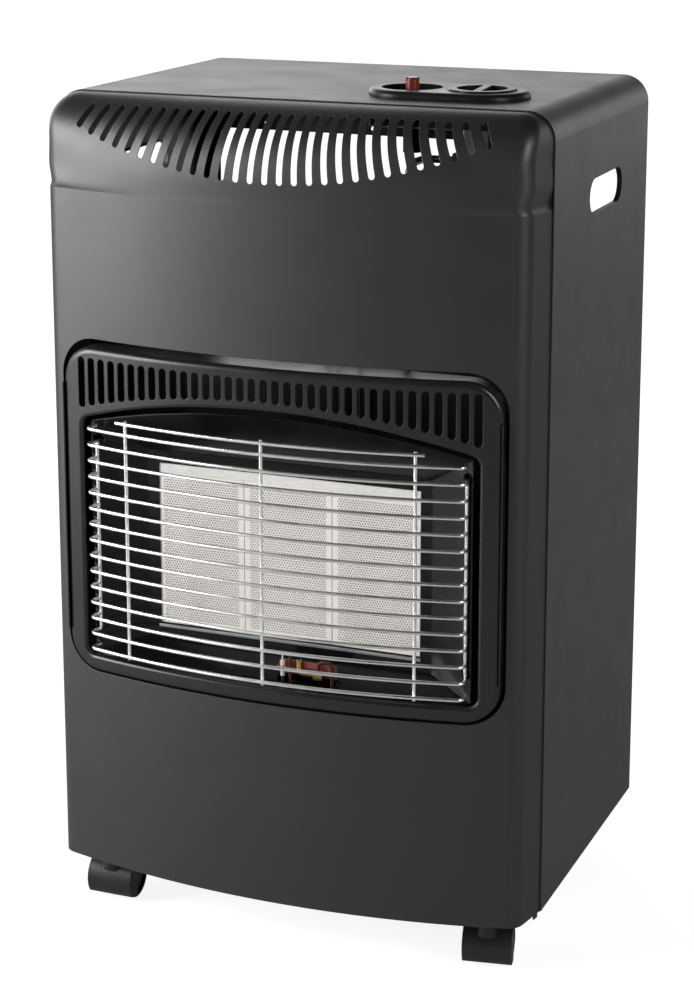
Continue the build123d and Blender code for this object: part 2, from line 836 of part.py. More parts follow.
write(gas_manifold, "gas_manifold")

with BuildPart() as injectors:
    seat_z = manifold_z + manifold_side / 2
    with BuildSketch(Plane.XY.offset(seat_z)):
        with Locations(*[(x, venturi_y) for x in venturi_xs]):
            RegularPolygon(injector_width / 2, 6, major_radius=False)
    extrude(amount=injector_height)
    with BuildSketch(Plane.XY.offset(seat_z + injector_height)):
        with Locations(*[(x, venturi_y) for x in venturi_xs]):
            Circle(injector_nozzle_radius)
    extrude(amount=injector_nozzle_height)
    with BuildSketch(Plane.XY.offset(seat_z)):
        with Locations(*[(x, venturi_y) for x in venturi_xs]):
            Circle(injector_shank_radius)
    extrude(amount=-injector_shank_length)
    with BuildSketch(Plane.XY.offset(seat_z - injector_shank_length)):
        with Locations(*[(x, venturi_y) for x in venturi_xs]):
            Circle(injector_bore)
    extrude(amount=far, mode=Mode.SUBTRACT)
write(injectors, "injectors")

with BuildPart() as manifold_straps:
    strap_low = manifold_z - manifold_side / 2 - 2 * sheet
    with Locations((-strap_x, venturi_y, strap_low), (strap_x, venturi_y, strap_low)):
        Box(
            strap_thickness,
            strap_width,
            plaque_low - sheet - strap_low,
            align=(Align.CENTER, Align.CENTER, Align.MIN),
        )
    foot_z = plaque_low - sheet
    with Locations((-strap_x, venturi_y, foot_z), (strap_x, venturi_y, foot_z)):
        Box(
            strap_foot,
            strap_width,
            strap_thickness,
            align=(Align.CENTER, Align.CENTER, Align.MAX),
        )
    with Locations((0, venturi_y, manifold_z)):
        Box(2 * manifold_half_length, manifold_side, manifold_side, mode=Mode.SUBTRACT)
write(manifold_straps, "manifold_straps")

# ---------------------------------------------------------------- mountings of the burner
with BuildPart() as burner_brackets:
    inside_x = half_width - sheet
    web_y = seam_y + bracket_web_y_from_seam
    with BuildSketch(Plane.XY.offset(bracket_low)):
        with BuildLine():
            Polyline(
                (surround_half_width, hood_front_y + sheet),
                (surround_half_width + sheet, hood_front_y + sheet),
                (surround_half_width + sheet, web_y),
                (inside_x, web_y),
                (inside_x, web_y + bracket_foot),
                (inside_x - sheet, web_y + bracket_foot),
                (inside_x - sheet, web_y + sheet),
                (surround_half_width, web_y + sheet),
                close=True,
            )
        make_face()
    extrude(amount=bracket_high - bracket_low)
    mirror(about=Plane.YZ)
write(burner_brackets, "burner_brackets")

with BuildPart() as heat_shield:
    with BuildSketch(upright(shield_y + sheet)):
        with Locations((0, (shield_low + shield_high) / 2)):
            RectangleRounded(2 * shield_half_width, shield_high - shield_low, shield_corner)
    extrude(amount=sheet)
write(heat_shield, "heat_shield")

with BuildPart() as burner_stays:
    for x in (-stay_x, stay_x):
        gap = shield_y - box_back_y
        with BuildSketch(Plane.XY.offset(stay_low)):
            with Locations((x, box_back_y + strap_thickness / 2)):
                Rectangle(stay_width, strap_thickness)
            with Locations((x, box_back_y + gap / 2)):
                Rectangle(strap_thickness, gap)
            with Locations((x, shield_y - strap_thickness / 2)):
                Rectangle(stay_width, strap_thickness)
        extrude(amount=stay_height)
write(burner_stays, "burner_stays")


# ---------------------------------------------------------------- wires, pipes and leads
def tube_along(points, radius, bend):
    """Round bar along a run of straight lines with bent corners"""
    with BuildPart() as tube:
        with BuildLine() as path:
            FilletPolyline(*points, radius=bend)
        start = path.wire() @ 0
        with BuildSketch(Plane(origin=start, z_dir=path.wire() % 0)):
            Circle(radius)
        sweep()
    return tube.part


def guard_arc_wire(z, reach, legs):
    """One wire of the guard at height z along the guard's curve, with or without its legs"""
    end_y = guard_axis_y - sqrt(guard_radius**2 - reach**2)
    leg_y = seam_y - guard_leg_ahead
    with BuildPart() as bent:
        with BuildLine(Plane.XY.offset(z)) as path:
            ThreePointArc((-reach, end_y), (0, seam_y - guard_middle), (reach, end_y))
            if legs:
                Line((-guard_leg_half_width, leg_y), (-reach, end_y))
                Line((reach, end_y), (guard_leg_half_width, leg_y))
                kinks = path.vertices().filter_by_position(Axis.Y, end_y - wire, end_y + wire)
                fillet(kinks, guard_kink)
        with BuildSketch(Plane(origin=path.wire() @ 0, z_dir=path.wire() % 0)):
            Circle(wire / 2)
        sweep()
    return bent.part


with BuildPart() as wire_guard:
    guard_wire = guard_arc_wire(guard_low, guard_end_half_width, True)
    with Locations(*[(0, 0, index * guard_pitch) for index in range(guard_count)]):
        add(guard_wire)
    short_z = guard_low + (guard_count - 1) * guard_pitch + guard_short_rise
    add(guard_arc_wire(short_z, guard_short_half_width, False))
    for x in guard_bar_xs:
        bar_y = guard_axis_y - sqrt(guard_radius**2 - x**2) + wire - guard_weld
        with Locations((x, bar_y, guard_bar_low)):
            Cylinder(
                wire / 2,
                guard_bar_high - guard_bar_low,
                align=(Align.CENTER, Align.CENTER, Align.MIN),
            )
    for x in (-guard_leg_half_width, guard_leg_half_width):
        side_y = seam_y + guard_side_y_from_seam
        hook_points = [
            (x, side_y + guard_hook_depth, guard_hook_low),
            (x, side_y, guard_hook_low),
            (x, side_y, guard_hook_high),
            (x, side_y + guard_hook_depth, guard_hook_high),
        ]
        add(tube_along(hook_points, wire / 2, guard_hook_bend))
write(wire_guard, "wire_guard")

# ---------------------------------------------------------------- pilot
with BuildPart() as pilot_bracket:
    plate_height = pilot_plate_high - pilot_plate_low
    with BuildSketch(upright(pilot_face_y + pilot_plate_thickness)):
        with Locations((pilot_plate_width / 2, pilot_plate_low + plate_height / 2)):
            RectangleRounded(pilot_plate_width, plate_height, pilot_plate_corner)
    extrude(amount=pilot_plate_thickness)
    with Locations((pilot_tab_width / 2, pilot_face_y + sheet / 2, pilot_tab_z)):
        Box(
            pilot_tab_width,
            pilot_tab_reach + sheet / 2,
            pilot_plate_thickness,
            align=(Align.CENTER, Align.MAX, Align.MIN),
        )
    with BuildSketch(Plane.XY.offset(pilot_tab_z)):
        with Locations((electrode_x, pilot_y)):
            Circle(electrode_radius + running_gap)
        with Locations((thermocouple_x, pilot_y)):
            Circle(thermocouple_radius + running_gap)
    extrude(amount=pilot_plate_thickness, mode=Mode.SUBTRACT)
write(pilot_bracket, "pilot_bracket")

with BuildPart() as pilot_burner:
    block_middle = pilot_plate_low + pilot_block_height / 2
    with Locations((pilot_block_x, pilot_face_y, block_middle)):
        Box(
            pilot_block_width,
            2 * (pilot_face_y - pilot_y),
            pilot_block_height,
            align=(Align.CENTER, Align.MAX, Align.CENTER),
        )
    flame_points = [
        (pilot_block_x, pilot_y, block_middle),
        (pilot_flame_x, pilot_y, block_middle),
        (pilot_flame_x, pilot_y, pilot_flame_high),
    ]
    add(tube_along(flame_points, pilot_flame_radius, pilot_flame_bend))
    with BuildSketch(Plane.XY.offset(pilot_flame_high)):
        with Locations((pilot_flame_x, pilot_y)):
            Circle(pilot_flame_radius - pilot_flame_wall)
    extrude(amount=-pilot_slot_height, mode=Mode.SUBTRACT)
write(pilot_burner, "pilot_burner")

with BuildPart() as pilot_electrode:
    with Locations((electrode_x, pilot_y, electrode_low)):
        Cylinder(
            electrode_radius,
            electrode_high - electrode_low,
            align=(Align.CENTER, Align.CENTER, Align.MIN),
        )
    with Locations((electrode_x, pilot_y, electrode_high)):
        Cylinder(
            electrode_tip_radius,
            electrode_tip,
            align=(Align.CENTER, Align.CENTER, Align.MIN),
        )
write(pilot_electrode, "pilot_electrode")

with BuildPart() as thermocouple:
    rod_low = pilot_plate_low - thermocouple_drop
    with Locations((thermocouple_x, pilot_y, rod_low)):
        Cylinder(
            thermocouple_radius,
            thermocouple_high - rod_low,
            align=(Align.CENTER, Align.CENTER, Align.MIN),
        )
    fillet(thermocouple.edges().group_by(Axis.Z)[-1], thermocouple_edge)
    first_z = lead_low + thermocouple_lead_rise
    cross_z = lead_high + lead_level
    cross_y = controls_y + thermocouple_end_y_from_controls
    lead_points = [
        (thermocouple_x, pilot_y, pilot_plate_low),
        (thermocouple_x, pilot_y, first_z),
        (thermocouple_x, pilot_y + thermocouple_lead_back, first_z),
        (thermocouple_lead_x, pilot_y + thermocouple_lead_back, first_z),
        (thermocouple_lead_x, lead_y, first_z),
        (thermocouple_lead_x, lead_y, cross_z),
        (thermocouple_lead_x, cross_y, cross_z),
        (thermocouple_end_x, cross_y, cross_z),
        (thermocouple_end_x, cross_y, valve_top - valve_height),
    ]
    add(tube_along(lead_points, thermocouple_lead_radius, thermocouple_bend))
write(thermocouple, "thermocouple")

ignition_points = [
    (electrode_x, pilot_y, electrode_low),
    (electrode_x, pilot_y, lead_low),
    (ignition_lead_x, pilot_y, lead_low),
    (ignition_lead_x, lead_y, lead_low),
    (ignition_lead_x, lead_y, lead_high),
    (ignition_lead_x, controls_y, lead_high),
    (igniter_x, controls_y, lead_high),
    (igniter_x, controls_y, top_z - piezo_length),
]
with BuildPart() as ignition_lead:
    add(tube_along(ignition_points, ignition_lead_radius, lead_bend))
write(ignition_lead, "ignition_lead")

block_top = pilot_plate_low + pilot_block_height
tube_x = pilot_block_x + pilot_tube_side
tube_cross_z = lead_high + 2 * lead_level
tube_end_x = knob_x + pilot_tube_end_x_from_knob
valve_front_y = controls_y - valve_depth / 2
pilot_tube_points = [
    (pilot_block_x, pilot_y, block_top),
    (pilot_block_x, pilot_y, block_top + pilot_tube_rise),
    (tube_x, pilot_y, block_top + pilot_tube_rise),
    (tube_x, pilot_y, lead_low),
    (tube_x, lead_y, lead_low),
    (tube_x, lead_y, tube_cross_z),
    (tube_x, valve_front_y - pilot_tube_ahead, tube_cross_z),
    (tube_end_x, valve_front_y - pilot_tube_ahead, tube_cross_z),
    (tube_end_x, valve_front_y - pilot_tube_ahead, valve_top - outlet_drop),
    (tube_end_x, valve_front_y, valve_top - outlet_drop),
]
with BuildPart() as pilot_tube:
    add(tube_along(pilot_tube_points, pilot_tube_radius, lead_bend))
write(pilot_tube, "pilot_tube")

# ---------------------------------------------------------------- controls on top
with BuildPart() as control_bezel:
    with BuildSketch(Plane.XY.offset(top_z)):
        with Locations(((igniter_x + knob_x) / 2 + bezel_shift, controls_y)):
            SlotCenterToCenter(knob_x - igniter_x, 2 * bezel_radius)
    extrude(amount=bezel_height)
    fillet(control_bezel.edges().group_by(Axis.Z)[-1], bezel_edge)
    cup_radius = knob_radius + knob_gap
    with BuildSketch(Plane.XY.offset(top_z)):
        with Locations((knob_x, controls_y)):
            Circle(cup_radius + knob_cup_wall)
    extrude(amount=cup_floor_z - knob_cup_floor - top_z)
    with BuildSketch(Plane.XY.offset(cup_floor_z)):
        with Locations((knob_x, controls_y)):
            Circle(cup_radius)
    extrude(amount=far, mode=Mode.SUBTRACT)
    with BuildSketch(Plane.XY.offset(top_z + bezel_height - dish_depth)):
        with Locations((igniter_x, controls_y)):
            Circle(dish_radius)
    extrude(amount=far, mode=Mode.SUBTRACT)
    with BuildSketch(Plane.XY.offset(cup_floor_z - 2 * knob_cup_floor)):
        with Locations((knob_x, controls_y)):
            Circle(spindle_radius + clearance)
        with Locations((igniter_x, controls_y)):
            Circle(button_radius + clearance)
    extrude(amount=far, mode=Mode.SUBTRACT)
write(control_bezel, "control_bezel")

knob_top = knob_low + knob_thickness
with BuildPart() as control_knob:
    with Locations((knob_x, controls_y, knob_low)):
        Cylinder(knob_radius, knob_thickness, align=(Align.CENTER, Align.CENTER, Align.MIN))
    fillet(control_knob.edges().group_by(Axis.Z)[-1], knob_edge)
    with BuildSketch(Plane.XY.offset(knob_top)):
        with Locations((knob_x, controls_y)):
            Circle(knob_sink_radius)
            with Locations(Rotation(0, 0, knob_bar_angle)):
                Rectangle(2 * knob_radius, knob_bar_width, mode=Mode.SUBTRACT)
    extrude(amount=-knob_sink_depth, mode=Mode.SUBTRACT)
    with BuildSketch(Plane.XY.offset(knob_low)):
        with Locations((knob_x, controls_y)):
            Circle(spindle_radius + running_gap)
    extrude(amount=knob_thickness - spindle_cover, mode=Mode.SUBTRACT)
write(control_knob, "control_knob")

spindle_low = valve_top - plunger_sink - plunger_length - spindle_collar
with BuildPart() as valve_spindle:
    with Locations((knob_x, controls_y, spindle_low)):
        Cylinder(
            spindle_radius,
            knob_top - spindle_cover - spindle_low,
            align=(Align.CENTER, Align.CENTER, Align.MIN),
        )
        Cylinder(
            spindle_collar_radius,
            spindle_collar,
            align=(Align.CENTER, Align.CENTER, Align.MIN),
        )
write(valve_spindle, "valve_spindle")

with BuildPart() as valve_plunger:
    with Locations((knob_x, controls_y, valve_top - plunger_sink)):
        Cylinder(plunger_radius, plunger_length, align=(Align.CENTER, Align.CENTER, Align.MAX))
        Cylinder(
            spindle_radius + running_gap,
            plunger_length,
            align=(Align.CENTER, Align.CENTER, Align.MAX),
            mode=Mode.SUBTRACT,
        )
write(valve_plunger, "valve_plunger")

outlet_z = valve_top - outlet_drop
with BuildPart() as gas_valve:
    with Locations((knob_x, controls_y, valve_top)):
        Box(valve_width, valve_depth, valve_height, align=(Align.CENTER, Align.CENTER, Align.MAX))
    fillet(gas_valve.edges().filter_by(Axis.Z), valve_corner)
    outlet_plane = Plane(
        origin=(knob_x - valve_width / 2 + valve_corner, controls_y, outlet_z),
        x_dir=(0, 1, 0),
        z_dir=(-1, 0, 0),
    )
    with BuildSketch(outlet_plane):
        Circle(outlet_boss_radius)
    extrude(amount=outlet_boss_length + valve_corner)
    bore_depth = plunger_sink + plunger_length + spindle_collar + knob_travel + sheet
    with Locations((knob_x, controls_y, valve_top)):
        Cylinder(
            plunger_radius + running_gap,
            bore_depth,
            align=(Align.CENTER, Align.CENTER, Align.MAX),
            mode=Mode.SUBTRACT,
        )
write(gas_valve, "gas_valve")

outlet_x = knob_x - valve_width / 2 - outlet_boss_length
with BuildPart() as valve_outlet_nut:
    with BuildSketch(outlet_plane.offset(outlet_boss_length + valve_corner)):
        RegularPolygon(outlet_nut_width / 2, 6, major_radius=False)
        Circle(pipe_radius + running_gap, mode=Mode.SUBTRACT)
    extrude(amount=outlet_nut_length)
write(valve_outlet_nut, "valve_outlet_nut")

pipe_end_y = venturi_y + manifold_side / 2 - manifold_wall
pipe_points = [
    (outlet_x, controls_y, outlet_z),
    (pipe_side_x, controls_y, outlet_z),
    (pipe_side_x, seam_y + pipe_back_y_from_seam, outlet_z),
    (pipe_side_x, seam_y + pipe_back_y_from_seam, manifold_z),
    (pipe_side_x, pipe_end_y, manifold_z),
]
with BuildPart() as gas_pipe:
    add(tube_along(pipe_points, pipe_radius, pipe_bend))
    add(tube_along(pipe_points, pipe_bore_radius, pipe_bend), mode=Mode.SUBTRACT)
write(gas_pipe, "gas_pipe")

with BuildPart() as hose_tail:
    inlet_plane = upright(controls_y + valve_depth / 2)
    with BuildSketch(inlet_plane):
        with Locations((knob_x, valve_top - inlet_drop)):
            RegularPolygon(hose_tail_nut_width / 2, 6, major_radius=False)
    extrude(amount=-hose_tail_nut_length)
    with BuildSketch(inlet_plane.offset(-hose_tail_nut_length)):
        with Locations((knob_x, valve_top - inlet_drop)):
            Circle(hose_tail_radius)
    extrude(amount=-hose_tail_length)
    with BuildSketch(inlet_plane):
        with Locations((knob_x, valve_top - inlet_drop)):
            Circle(hose_tail_bore)
    extrude(amount=-hose_tail_nut_length - hose_tail_length, mode=Mode.SUBTRACT)
    groove_pitch = hose_tail_length / (hose_tail_groove_count + 1)
    for ring in range(hose_tail_groove_count):
        with BuildSketch(inlet_plane.offset(-hose_tail_nut_length - (ring + 1) * groove_pitch)):
            with Locations((knob_x, valve_top - inlet_drop)):
                Circle(hose_tail_radius)
                Circle(hose_tail_radius - hose_tail_groove_depth, mode=Mode.SUBTRACT)
        extrude(amount=-hose_tail_groove, mode=Mode.SUBTRACT)
write(hose_tail, "hose_tail")

with BuildPart() as control_bracket:
    plate_length = control_leg_high_x - control_leg_low_x
    plate_middle = (control_leg_low_x + control_leg_high_x) / 2
    plate_z = top_z - control_drop
    with Locations((plate_middle, controls_y, plate_z)):
        Box(plate_length, control_plate_width, sheet, align=(Align.CENTER, Align.CENTER, Align.MAX))
    for x, outward in ((control_leg_low_x, -1), (control_leg_high_x, 1)):
        leg_x = x - outward * sheet / 2
        with Locations((leg_x, controls_y, plate_z - sheet)):
            Box(
                sheet,
                control_plate_width,
                control_drop,
                align=(Align.CENTER, Align.CENTER, Align.MIN),
            )
        with Locations((leg_x + outward * control_foot / 2, controls_y, top_z - sheet)):
            Box(
                control_foot + sheet,
                control_plate_width,
                sheet,
                align=(Align.CENTER, Align.CENTER, Align.MAX),
            )
    with BuildSketch(Plane.XY.offset(plate_z)):
        with Locations((igniter_x, controls_y)):
            Circle(piezo_radius + clearance)
        with Locations((knob_x, controls_y)):
            Circle(spindle_radius + clearance)
    extrude(amount=-2 * sheet, mode=Mode.SUBTRACT)
write(control_bracket, "control_bracket")

dish_z = top_z + bezel_height - dish_depth
with BuildPart() as piezo_igniter:
    with Locations((igniter_x, controls_y, top_z - piezo_length)):
        Cylinder(
            piezo_radius,
            piezo_length - sheet,
            align=(Align.CENTER, Align.CENTER, Align.MIN),
        )
        Cylinder(piezo_neck_radius, piezo_length, align=(Align.CENTER, Align.CENTER, Align.MIN))
    with Locations((igniter_x, controls_y, top_z)):
        Cylinder(
            button_radius + running_gap,
            piezo_bore_depth,
            align=(Align.CENTER, Align.CENTER, Align.MAX),
            mode=Mode.SUBTRACT,
        )
write(piezo_igniter, "piezo_igniter")

with BuildPart() as igniter_button:
    button_top = dish_z + button_height
    with Locations((igniter_x, controls_y, dish_z - button_depth)):
        Cylinder(
            button_radius,
            button_height + button_depth,
            align=(Align.CENTER, Align.CENTER, Align.MIN),
        )
    with BuildSketch(Plane.XY.offset(button_top)):
        with Locations((igniter_x, controls_y)):
            with PolarLocations(button_radius, button_notches):
                Rectangle(2 * (button_radius - button_crown_radius), button_notch)
    extrude(amount=-button_notch_depth, mode=Mode.SUBTRACT)
write(igniter_button, "igniter_button")

# ---------------------------------------------------------------- base and rear cover
with BuildPart() as base_plate:
    inner_half = panel_half - sheet - clearance
    lip_end_y = seam_y + lip_depth + clearance
    base_ahead = wall_reach(inner_half, sheet + clearance)
    base_reach = inner_half - panel_lean * base_ahead
    front_y = seam_y - base_ahead
    with BuildSketch(Plane.XY.offset(base_z + sheet)) as base_outline:
        with BuildLine():
            ThreePointArc(
                (-base_reach, front_y), (0, bow_y(0, sheet + clearance)), (base_reach, front_y)
            )
            Polyline(
                (-base_reach, front_y),
                (-inner_half, seam_y),
                (-inner_half, lip_end_y),
                (-half_width + sheet, lip_end_y),
                (-half_width + sheet, base_back_y),
                (half_width - sheet, base_back_y),
                (half_width - sheet, lip_end_y),
                (inner_half, lip_end_y),
                (inner_half, seam_y),
                (base_reach, front_y),
            )
        make_face()
        fillet(base_outline.vertices().group_by(Axis.Y)[0], base_corner)
    extrude(amount=-sheet - base_flange)
    with BuildSketch(Plane.XY.offset(base_z)):
        add(base_outline.sketch.faces())
        offset(amount=-sheet, kind=Kind.INTERSECTION)
    extrude(amount=-2 * base_flange, mode=Mode.SUBTRACT)
    with BuildSketch(Plane.XY.offset(base_z + 2 * sheet)):
        with Locations((0, (seam_y + rear_y) / 2)):
            with GridLocations(base_vent_pitch, base_vent_length, base_vent_count, 1):
                SlotOverall(base_vent_length, base_vent_width, rotation=90)
    extrude(amount=-4 * sheet, mode=Mode.SUBTRACT)
    # a tab on each side, in line with the leaning walls
    tab_rear = -base_tab_y_from_seam - base_tab_width / 2
    tab_front = -base_tab_y_from_seam + base_tab_width / 2
    tab_rear_x = inner_half - panel_lean * tab_rear
    tab_front_x = inner_half - panel_lean * tab_front
    for side in (-1, 1):
        with BuildSketch(Plane.XY.offset(skirt_z - base_tab_drop)):
            with BuildLine():
                Polyline(
                    (side * tab_rear_x, seam_y - tab_rear),
                    (side * tab_front_x, seam_y - tab_front),
                    (side * (tab_front_x - sheet), seam_y - tab_front),
                    (side * (tab_rear_x - sheet), seam_y - tab_rear),
                    close=True,
                )
            make_face()
        extrude(amount=base_tab_drop + 2 * sheet)
    with BuildSketch(Plane.XY.offset(base_z + 2 * sheet)):
        with Locations(*rivet_spots):
            Circle(rivet_radius + running_gap)
    extrude(amount=-4 * sheet, mode=Mode.SUBTRACT)
write(base_plate, "base_plate")

with BuildPart() as rear_cover:
    cover_half = half_width - rear_flange_side - cover_gap
    cover_middle = cover_low + cover_height / 2
    with BuildSketch(upright(cover_y)):
        with Locations((0, cover_middle)):
            RectangleRounded(2 * cover_half, cover_height, cover_corner)
    extrude(amount=sheet + cover_flange)
    with BuildSketch(upright(cover_y - sheet)):
        with Locations((0, cover_middle)):
            RectangleRounded(
                2 * (cover_half - sheet), cover_height - 2 * sheet, cover_corner - sheet
            )
    extrude(amount=far, mode=Mode.SUBTRACT)
    with BuildSketch(upright(cover_y + sheet)):
        for row in cover_vent_rows:
            with Locations((0, cover_low + row)):
                with GridLocations(cover_vent_pitch, cover_vent_width, cover_vent_count, 1):
                    SlotOverall(cover_vent_length, cover_vent_width)
        with Locations((0, cover_low + cover_height - cover_grip_drop)):
            SlotOverall(cover_grip_length, cover_grip_height)
    extrude(amount=far, mode=Mode.SUBTRACT)
    for x in (-hinge_half_span, hinge_half_span):
        with Locations((x, cover_y + hinge_tab, hinge_z - hinge_pin_radius)):
            Box(
                hinge_knuckle,
                sheet + hinge_tab,
                cover_low + hinge_tab_high - hinge_z + hinge_pin_radius,
                align=(Align.CENTER, Align.MAX, Align.MIN),
            )
        with Locations((x, hinge_y, hinge_z)):
            Cylinder(hinge_barrel_radius, hinge_knuckle, rotation=(0, 90, 0))
            Cylinder(
                hinge_pin_radius + running_gap,
                hinge_knuckle,
                rotation=(0, 90, 0),
                mode=Mode.SUBTRACT,
            )
write(rear_cover, "rear_cover")

lug_offset = (hinge_knuckle + hinge_lug) / 2 + hinge_side_gap
lug_xs = [
    side * hinge_half_span + step for side in (-1, 1) for step in (-lug_offset, lug_offset)
]
with BuildPart() as hinge_lugs:
    for x in lug_xs:
        with Locations((x, base_back_y, hinge_z - hinge_barrel_radius)):
            Box(
                hinge_lug,
                hinge_y - base_back_y,
                hinge_barrel_radius + hinge_lug_rise,
                align=(Align.CENTER, Align.MIN, Align.MIN),
            )
        with Locations((x, hinge_y, hinge_z)):
            Cylinder(hinge_barrel_radius, hinge_lug, rotation=(0, 90, 0))
            Cylinder(
                hinge_pin_radius + running_gap, hinge_lug, rotation=(0, 90, 0), mode=Mode.SUBTRACT
            )
write(hinge_lugs, "hinge_lugs")

with BuildPart() as hinge_pins:
    pin_length = hinge_knuckle + 2 * (hinge_side_gap + hinge_lug)
    for side in (-1, 1):
        with Locations((side * hinge_half_span, hinge_y, hinge_z)):
            Cylinder(hinge_pin_radius, pin_length, rotation=(0, 90, 0))
        head_x = hinge_half_span + (pin_length + hinge_head) / 2
        with Locations((side * head_x, hinge_y, hinge_z)):
            Cylinder(hinge_head_radius, hinge_head, rotation=(0, 90, 0))
write(hinge_pins, "hinge_pins")

with BuildPart() as cover_stops:
    stop_y = cover_front_y - running_gap
    for side in (-1, 1):
        outer = side * (half_width - sheet)
        toward = Align.MAX if side > 0 else Align.MIN
        with Locations((outer, stop_y, stop_low)):
            Box(stop_width, sheet, stop_height, align=(toward, Align.MAX, Align.MIN))
            Box(sheet, stop_foot, stop_height, align=(toward, Align.MAX, Align.MIN))
write(cover_stops, "cover_stops")


# ---------------------------------------------------------------- casters
def caster(corner, x, y, turn):
    """One twin-wheel caster, turned by turn degrees about its stem"""
    level = Plane(
        origin=(x, y, 0), x_dir=(cos(radians(turn)), sin(radians(turn)), 0), z_dir=(0, 0, 1)
    )
    with BuildPart() as plate:
        with Locations((x, y, base_z)):
            Box(
                stem_plate,
                stem_plate,
                stem_plate_thickness,
                align=(Align.CENTER, Align.CENTER, Align.MAX),
            )
        fillet(plate.edges().filter_by(Axis.Z), rivet_head_radius)
        with Locations((x, y, base_z)):
            Cylinder(
                stem_collar_radius,
                base_z - boss_high,
                align=(Align.CENTER, Align.CENTER, Align.MAX),
            )
            Cylinder(stem_radius, base_z - stem_low, align=(Align.CENTER, Align.CENTER, Align.MAX))
        with BuildSketch(Plane.XY.offset(base_z)):
            with Locations((x, y)):
                with GridLocations(rivet_pitch, rivet_pitch, 2, 2):
                    Circle(rivet_radius + running_gap)
        extrude(amount=-stem_plate_thickness, mode=Mode.SUBTRACT)
    write(plate, f"caster_plate_{corner}")

    with BuildPart(level) as shell:
        with Locations((0, caster_trail, wheel_radius)):
            Cylinder(hood_reach, 2 * caster_half_width, rotation=(0, 90, 0))
        with Locations((0, caster_trail - hood_back, wheel_radius - hood_skirt)):
            Box(
                3 * caster_half_width,
                hood_reach,
                2 * hood_reach,
                align=(Align.CENTER, Align.MAX, Align.MIN),
                mode=Mode.INTERSECT,
            )
        with Locations((0, caster_trail, wheel_radius)):
            Cylinder(web_reach, caster_web, rotation=(0, 90, 0))
        with Locations((0, 0, boss_low)):
            Cylinder(
                boss_radius,
                boss_high - boss_low,
                align=(Align.CENTER, Align.CENTER, Align.MIN),
            )
        for side in (-1, 1):
            with Locations((side * wheel_offset, caster_trail, wheel_radius)):
                Cylinder(
                    hood_reach - caster_wall,
                    wheel_width + 2 * wheel_side_gap,
                    rotation=(0, 90, 0),
                    mode=Mode.SUBTRACT,
                )
        with Locations((0, 0, stem_low - stem_end_gap)):
            Cylinder(
                stem_radius + running_gap,
                boss_high - stem_low + stem_end_gap,
                align=(Align.CENTER, Align.CENTER, Align.MIN),
                mode=Mode.SUBTRACT,
            )
        with Locations((0, caster_trail, wheel_radius)):
            Cylinder(
                axle_radius + running_gap, caster_web, rotation=(0, 90, 0), mode=Mode.SUBTRACT
            )
    write(shell, f"caster_hood_{corner}")

    axle_half = wheel_offset + wheel_width / 2 - axle_cover - clearance
    with BuildPart(level) as axle:
        with Locations((0, caster_trail, wheel_radius)):
            Cylinder(axle_radius, 2 * axle_half, rotation=(0, 90, 0))
    write(axle, f"caster_axle_{corner}")

    for side, side_name in ((-1, "left"), (1, "right")):
        with BuildPart(level) as wheel:
            with Locations((side * wheel_offset, caster_trail, wheel_radius)):
                Cylinder(wheel_radius, wheel_width, rotation=(0, 90, 0))
            fillet(wheel.edges().filter_by(GeomType.CIRCLE), wheel_edge)
            outer_x = side * (wheel_offset + wheel_width / 2)
            with Locations((outer_x, caster_trail, wheel_radius)):
                Cylinder(
                    wheel_radius - wheel_rim,
                    2 * wheel_dish,
                    rotation=(0, 90, 0),
                    mode=Mode.SUBTRACT,
                )
                Cylinder(wheel_hub_radius, 2 * wheel_dish, rotation=(0, 90, 0))
            with Locations((outer_x + side * wheel_dish / 2, caster_trail, wheel_radius)):
                Cylinder(
                    wheel_hub_radius + wheel_hub_groove,
                    wheel_dish,
                    rotation=(0, 90, 0),
                    mode=Mode.SUBTRACT,
                )
            bore = wheel_width - axle_cover
            with Locations((side * (wheel_offset - axle_cover / 2), caster_trail, wheel_radius)):
                Cylinder(axle_radius + running_gap, bore, rotation=(0, 90, 0), mode=Mode.SUBTRACT)
        write(wheel, f"caster_wheel_{corner}_{side_name}")


caster(
    "front_left",
    -front_caster_x,
    seam_y + front_caster_y_from_seam,
    caster_turns["front_left"],
)
caster(
    "front_right",
    front_caster_x,
    seam_y + front_caster_y_from_seam,
    caster_turns["front_right"],
)
caster("rear_left", -rear_caster_x, seam_y + rear_caster_y_from_seam, caster_turns["rear_left"])
caster("rear_right", rear_caster_x, seam_y + rear_caster_y_from_seam, caster_turns["rear_right"])

with BuildPart() as caster_rivets:
    with Locations(*[(x, y, base_z + sheet) for x, y in rivet_spots]):
        Cylinder(rivet_head_radius, rivet_head, align=(Align.CENTER, Align.CENTER, Align.MIN))
        Cylinder(
            rivet_radius,
            sheet + stem_plate_thickness,
            align=(Align.CENTER, Align.CENTER, Align.MAX),
        )
    with Locations(*[(x, y, base_z - stem_plate_thickness) for x, y in rivet_spots]):
        Cylinder(rivet_head_radius, rivet_head, align=(Align.CENTER, Align.CENTER, Align.MAX))
write(caster_rivets, "caster_rivets")
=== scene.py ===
"""Looks, light and camera for the portable gas cabinet heater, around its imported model."""

import math

